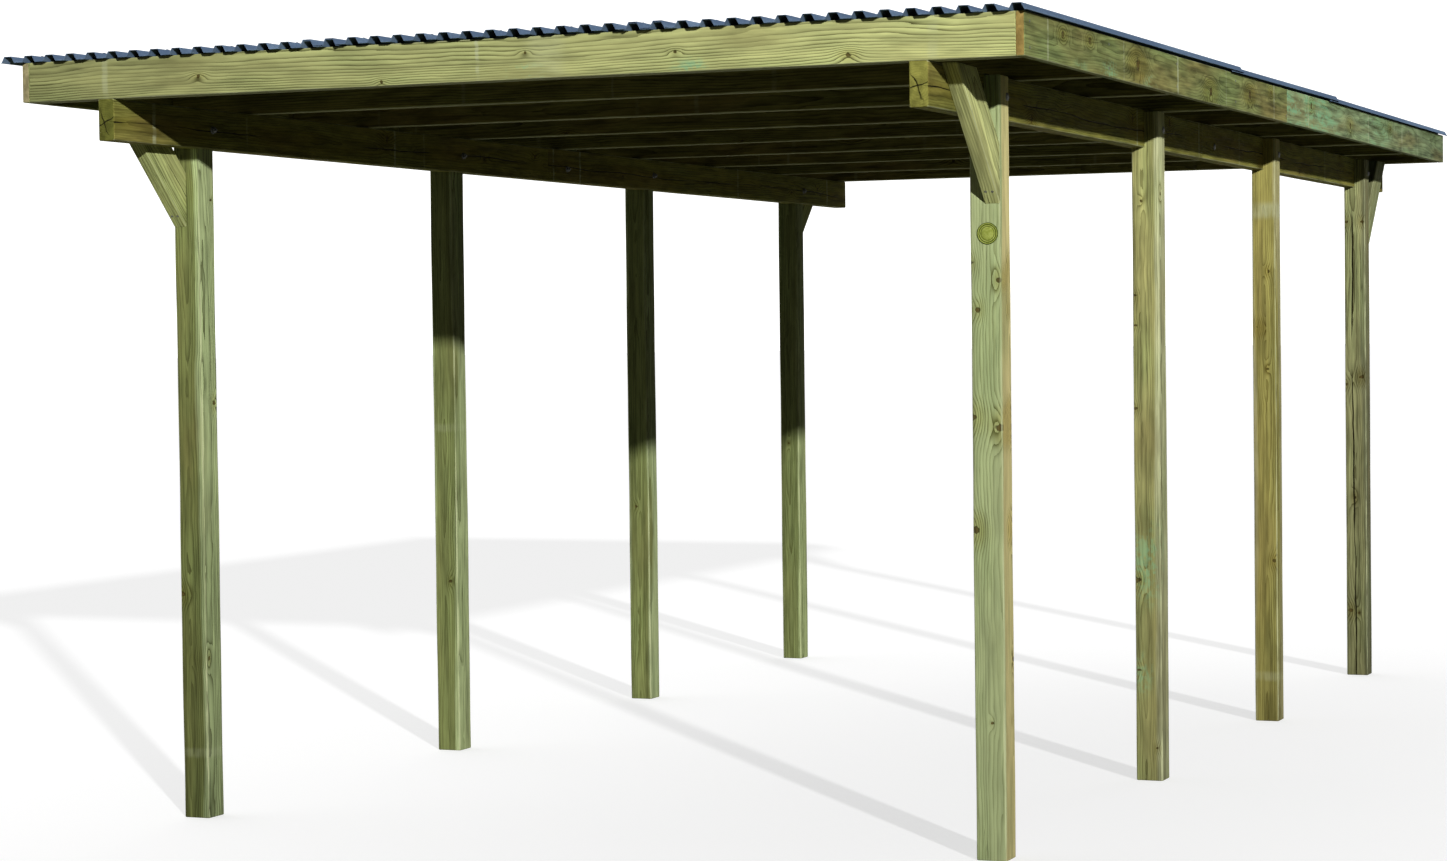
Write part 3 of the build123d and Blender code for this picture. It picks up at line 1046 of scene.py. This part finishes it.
def fixings(name, rings, places, outward, material, paint=None):
    """One mesh with a copy of the rings at each place, each with its third axis outward.

    Paint is a number for each ring, kept as an attribute for the material to read.
    """
    outward = np.array(outward, float)
    outward = outward / np.linalg.norm(outward, axis=1)[:, None]
    side = np.cross(outward, np.where(np.abs(outward[:, 2:]) > 0.9, X, Z))
    side = side / np.linalg.norm(side, axis=1)[:, None]
    frames = np.stack((side, np.cross(outward, side), outward), axis=1)
    points = np.array(places)[:, None, None] + np.einsum("rsk,nkj->nrsj", rings, frames)
    count, segments = rings.shape[:2]
    faces = []
    for copy in range(len(places)):
        index = numbered(count, segments, copy * count * segments)
        faces += [quad[::-1] for quad in strips(index)] + [index[0, ::-1].tolist(), index[-1].tolist()]
    mesh = bpy.data.meshes.new(name)
    mesh.from_pydata(points.reshape(-1, 3).tolist(), [], faces)
    if paint is not None:
        keep(mesh, "paint", "FLOAT", "POINT", np.tile(np.repeat(paint, segments), len(places)))
    placed(name, mesh, material)
    print(name + ":", len(places), "pieces,", len(faces), "faces")


# %% Zinc
ZINC_DARK, ZINC_LIGHT, RUST = tone(74, 76, 72), tone(116, 118, 112), tone(108, 76, 44)
ZINC_GLOSS, ZINC_METAL = 0.15, 0.25
CELLS_A_METRE = 260.0
RUST_STRETCH = (190.0, 190.0, 190.0)


def zinc_material():
    """Galvanised steel: cells of lighter and darker zinc, and rust where a fine noise is high."""
    material, tree = open_material("zinc_plating")
    where = object_place(tree)
    cells = field(tree, "TexVoronoi", {"Vector": where, "Scale": CELLS_A_METRE}, "Color")
    light = parts(cells)[0]
    rust = ramp(noise(where, RUST_STRETCH, 3.0), 0.6, 0.72, 0.0, 0.8)
    colour = blend(rust, blend(light, ZINC_DARK, ZINC_LIGHT), RUST)
    return close_material(material, colour, light * 0.2 + 0.5, ZINC_GLOSS, Metallic=(1.0 - rust) * ZINC_METAL)


zinc = zinc_material()
print("material:", zinc.name)

# %% [markdown]
# ## Coach bolts through the posts and the beam laps
# One coach bolt goes through each post's tongue and the beam behind it, a little behind the
# middle of the post. Its round head is on the outer face, and a washer and a nut are on the inner
# face of the beam. One more bolt holds each lap together.

# %% Bolts
BOLT_LEVEL, BOLT_BEHIND = 2.17, 0.027
LAP_BOLT_LEVEL, LAP_BOLT_BEHIND = 2.16, 0.02
HEAD_RADIUS, HEAD_HEIGHT = 0.012, 0.005
HEAD_TURNS = np.linspace(0, np.pi / 2, 5)[:-1]
HEAD_DOME = zip(HEAD_RADIUS * np.cos(HEAD_TURNS), HEAD_HEIGHT * np.sin(HEAD_TURNS))
HEAD_PROFILE = [(HEAD_RADIUS, -0.001), *HEAD_DOME]
WASHER_PROFILE = [(0.012, -0.001), (0.012, 0.0018), (0.0112, 0.0025), (0.004, 0.0025)]
NUT_PROFILE = [(0.94, 0.002), (1.0, 0.003), (1.0, 0.0095), (0.9, 0.0105)]
NUT_WIDTH = 0.017
STUB_PROFILE = [(0.005, 0.0), (0.005, 0.015), (0.004, 0.016)]


def bolt_places():
    """Where bolts come out, on the outer faces and on the inner faces: one a post, and one in each lap."""
    heads, nuts, ways = [], [], []
    for side_name, side in SIDES.items():
        beam_low, beam_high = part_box(f"front_{side_name}_beam")
        inner, outer = sorted((beam_low.x, beam_high.x), key=abs)
        for row in ROWS:
            low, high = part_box(f"{row}_{side_name}_post")
            heads.append((max(low.x, high.x, key=abs), (low.y + high.y) / 2 + BOLT_BEHIND, BOLT_LEVEL))
        heads.append((outer, LAP_BOLT_BEHIND, LAP_BOLT_LEVEL))
        nuts += [(inner, along, level) for _, along, level in heads[len(nuts):]]
        ways += (len(ROWS) + 1) * [(side, 0, 0)]
    return heads, nuts, ways


heads, nuts, ways = bolt_places()
inward = -np.array(ways)
fixings("coach_bolt_heads", spun(HEAD_PROFILE, 14), heads, ways, zinc)
fixings("bolt_washers", spun(WASHER_PROFILE, 16), nuts, inward, zinc)
fixings("bolt_nuts", spun(NUT_PROFILE, 24, NUT_WIDTH), nuts, inward, zinc)
fixings("bolt_stubs", spun(STUB_PROFILE, 10), nuts, inward, zinc)

# %% [markdown]
# ## Screws and roof caps
# Two countersunk screws hold each side board to each rafter, and two more go through the toe of
# each brace. On the roof a cap screw sits on every third crest over each rafter, where water
# doesn't run. The height of each crest is read from the sheets below by looking straight down.

# %% Board and brace screws
SCREW_PROFILE = [(0.0042, -0.001), (0.0042, 0.0002), (0.0036, 0.0006), (0.0016, 0.0006), (0.0012, -0.0004)]
SCREW_OFFSET = 0.035
BOARD_GRIP = 0.012
TOE_INSET, TOE_SPREAD = 0.033, 0.01


def screw_places():
    """Two screws in the outer face of the side boards at each rafter, and two in each brace's toe.

    At the middle rafter, where two boards are butted, each board gets one of the two.
    """
    places, outward = [], []
    for side_name, side in SIDES.items():
        low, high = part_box(f"front_{side_name}_side_board")
        face = max(low.x, high.x, key=abs)
        level = (low.z + high.z) / 2
        for row in RAFTERS:
            rafter_low, rafter_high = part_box(row + "_rafter")
            along = (rafter_low.y + rafter_high.y) / 2
            grip = BOARD_GRIP if row == "middle" else 0.0
            places += [(face, along + way * grip, level + way * SCREW_OFFSET) for way in (-1, 1)]
            outward += 2 * [(side, 0, 0)]
    for row, away in (("front", -1.0), ("rear", 1.0)):
        for side_name in SIDES:
            low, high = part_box(f"{row}_{side_name}_brace")
            foot = high.y if away < 0 else low.y
            toe = np.array(((low.x + high.x) / 2, foot + away * TOE_INSET, low.z + TOE_INSET))
            places += [tuple(toe + (shift, 0, 0)) for shift in (-TOE_SPREAD, TOE_SPREAD)]
            outward += 2 * [(0, away * (high.z - low.z), low.y - high.y)]
    return places, outward


places, outward = screw_places()
fixings("board_screws", spun(SCREW_PROFILE, 10), places, outward, zinc)

# %% Roof caps
CRESTS = 44
CREST_INSET = 0.028
CAP_EVERY = 3
CAP_PROFILE = [(0.009, -0.003), (0.009, 0.001), (0.0075, 0.0018), (0.004, 0.0022), (0.004, 0.0034),
               (0.003, 0.0038)]
CAP_LIMIT = cad_high.z - CAP_PROFILE[-1][1]
CAP_DARK, CAP_LIGHT = tone(30, 38, 56), tone(62, 72, 92)
CAP_STRETCH, CAP_GLOSS = (600.0, 600.0, 600.0), 0.5
LOOK_FROM = cad_high.z + 0.5


def cap_material():
    """Soft dark cap: the sheet's colour with a fine grain in its gloss."""
    material, tree = open_material("roof_cap_plastic")
    grain = noise(object_place(tree), CAP_STRETCH)
    return close_material(material, blend(grain, CAP_DARK, CAP_LIGHT), grain * 0.3 + 0.35, CAP_GLOSS)


def crest_height(x, y):
    """The top of the roof at a place: the highest sheet met when looking straight down.

    Over a lap the screw draws its cap down, so that none stands above the top of the roof.
    """
    hits = [sheet.ray_cast(Vector((x, y, LOOK_FROM)), Vector((0, 0, -1))) for sheet in sheets]
    return min(max(point.z for met, point, *_ in hits if met), CAP_LIMIT)


def cap_places():
    """Every third crest over each rafter, on top of the sheets."""
    crests = np.linspace(cad_low.x + CREST_INSET, cad_high.x - CREST_INSET, CRESTS)[1::CAP_EVERY].tolist()
    boxes = [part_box(row + "_rafter") for row in RAFTERS]
    rafter_lines = [(low.y + high.y) / 2 for low, high in boxes]
    return [(x, y, crest_height(x, y)) for y in rafter_lines for x in crests]


bpy.context.view_layer.update()
caps = cap_places()
fixings("roof_caps", spun(CAP_PROFILE, 8), caps, [(0, 0, 1)] * len(caps), cap_material())

# %% [markdown]
# ## A plain disc on the front right post
# A round olive disc is fixed to the front of this post, under the brace. It is left plain: a
# raised rim, a groove and a shallow dome, all one profile that is spun like the fixings.

# %% Disc
DISC_MIDDLE = (1.322, 1.782)
OLIVE_DARK, OLIVE_PALE, RING_PAINT = tone(134, 144, 60), tone(158, 167, 86), tone(62, 74, 14)
WEAR_STRETCH, DISC_GLOSS = (150.0, 150.0, 150.0), 0.2

# Each row: radius, height, and 1 where the rim and the grooves are painted dark
DISC_ROWS = np.array([
    (0.0310, -0.0005, 1), (0.0310, 0.0024, 1), (0.0303, 0.0032, 1), (0.0292, 0.0032, 1), (0.0288, 0.0030, 0),
    (0.0266, 0.0030, 0), (0.0262, 0.0022, 1), (0.0240, 0.0022, 1), (0.0236, 0.0030, 0), (0.0206, 0.0030, 0),
    (0.0202, 0.0018, 1), (0.0192, 0.0018, 1), (0.0186, 0.0022, 0), (0.0120, 0.0028, 0), (0.0060, 0.0031, 0),
    (0.0010, 0.0032, 0),
])


def disc_material():
    """Olive plastic: the painted rings are dark, the rest is paler where noise wears it."""
    material, tree = open_material("olive_disc")
    wear = ramp(noise(object_place(tree), WEAR_STRETCH, 3.0), 0.35, 0.7)
    colour = blend(stored(tree, "paint"), blend(wear, OLIVE_DARK, OLIVE_PALE), RING_PAINT)
    return close_material(material, colour, wear * 0.2 + 0.4, DISC_GLOSS)


disc_place = [(DISC_MIDDLE[0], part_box("front_right_post")[0].y, DISC_MIDDLE[1])]
fixings("post_disc", spun(DISC_ROWS[:, :2], 48), disc_place, [(0, -1, 0)], disc_material(), DISC_ROWS[:, 2])

# %% [markdown]
# ## Floor and light
# The studio is a wide pale floor under a soft sky, with one distant lamp low on the right, where
# the sun stood. The sky is brighter behind than in front, so the back isn't lost in the dark. Floor
# and sky look white to the camera but send less light back up, so the underside of the roof
# stays as dark as it is under a real roof.

# %% Floor, sky and lamp
FLOOR_REACH = 300.0
FLOOR_RINGS, FLOOR_SPOKES = 24, 96
FLOOR_SEEN, FLOOR_RETURN = (0.45, 0.45, 0.45, 1.0), (0.115, 0.11, 0.077, 1.0)
FLOOR_GLOW = 0.64
SKY_FRONT, SKY_BACK = 0.03, 1.4
SKY_BACK_WAY = (-0.75, 0.62, 0.22)
SKY_BACK_FULL = 0.8
KEY_LEVEL = 4.0
KEY_FROM = Vector((0.613, -0.748, 0.254))
KEY_SOFTNESS = math.radians(1.2)


def seen_directly(tree):
    """A mask that is 1 where the camera sees a surface itself, in a mirror or through glass."""
    path = add(tree, "LightPath").outputs
    camera, gloss, glass = (Field(path[f"Is {ray} Ray"]) for ray in ("Camera", "Glossy", "Transmission"))
    return calc("MAXIMUM", camera, calc("MAXIMUM", gloss, glass))


def pale_floor():
    """A round floor: rings of points whose radius grows with the square of their number."""
    radius = FLOOR_REACH * np.linspace(0, 1, FLOOR_RINGS + 1)[1:, None] ** 2
    angle = np.linspace(0, 2 * np.pi, FLOOR_SPOKES, endpoint=False)
    rings = np.stack((radius * np.cos(angle), radius * np.sin(angle), 0 * radius * angle), axis=-1)
    index = numbered(FLOOR_RINGS, FLOOR_SPOKES)
    mesh = bpy.data.meshes.new("floor")
    mesh.from_pydata(rings.reshape(-1, 3).tolist(), [], [index[0].tolist()] + strips(index))
    material, tree = open_material("pale_floor")
    seen = seen_directly(tree)
    matt = field(tree, "BsdfDiffuse", {"Color": blend(seen, FLOOR_RETURN, FLOOR_SEEN)})
    glow = field(tree, "Emission", {"Strength": seen * FLOOR_GLOW})
    add(tree, "OutputMaterial", {"Surface": field(tree, "AddShader", {0: matt, 1: glow})})
    mesh.materials.append(material)
    floor = bpy.data.objects.new("floor", mesh)
    scene.collection.objects.link(floor)


def soft_sky():
    """A world that is white to the camera, and lights the object softly, mostly from behind."""
    world = bpy.data.worlds.new("soft_sky")
    world.use_nodes = True
    tree = world.node_tree
    tree.nodes.clear()
    way = field(tree, "TexCoord", None, "Generated")
    behind = field(tree, "VectorMath", {0: way, 1: SKY_BACK_WAY}, "Value", operation="DOT_PRODUCT")
    level = calc("MAXIMUM", ramp(behind, 0.0, SKY_BACK_FULL, SKY_FRONT, SKY_BACK), seen_directly(tree))
    light = field(tree, "Background", {"Color": (1.0, 1.0, 1.0, 1.0), "Strength": level})
    add(tree, "OutputWorld", {"Surface": light})
    scene.world = world


def key_lamp():
    """One distant lamp, low on the front right. It is hidden from gloss, so it leaves no glare."""
    light = bpy.data.lights.new("key", "SUN")
    light.energy = KEY_LEVEL
    light.angle = KEY_SOFTNESS
    lamp = bpy.data.objects.new("key", light)
    scene.collection.objects.link(lamp)
    lamp.rotation_euler = KEY_FROM.to_track_quat("Z", "Y").to_euler()
    lamp.visible_glossy = False


pale_floor()
soft_sky()
key_lamp()
print("stage: floor, sky and one lamp")
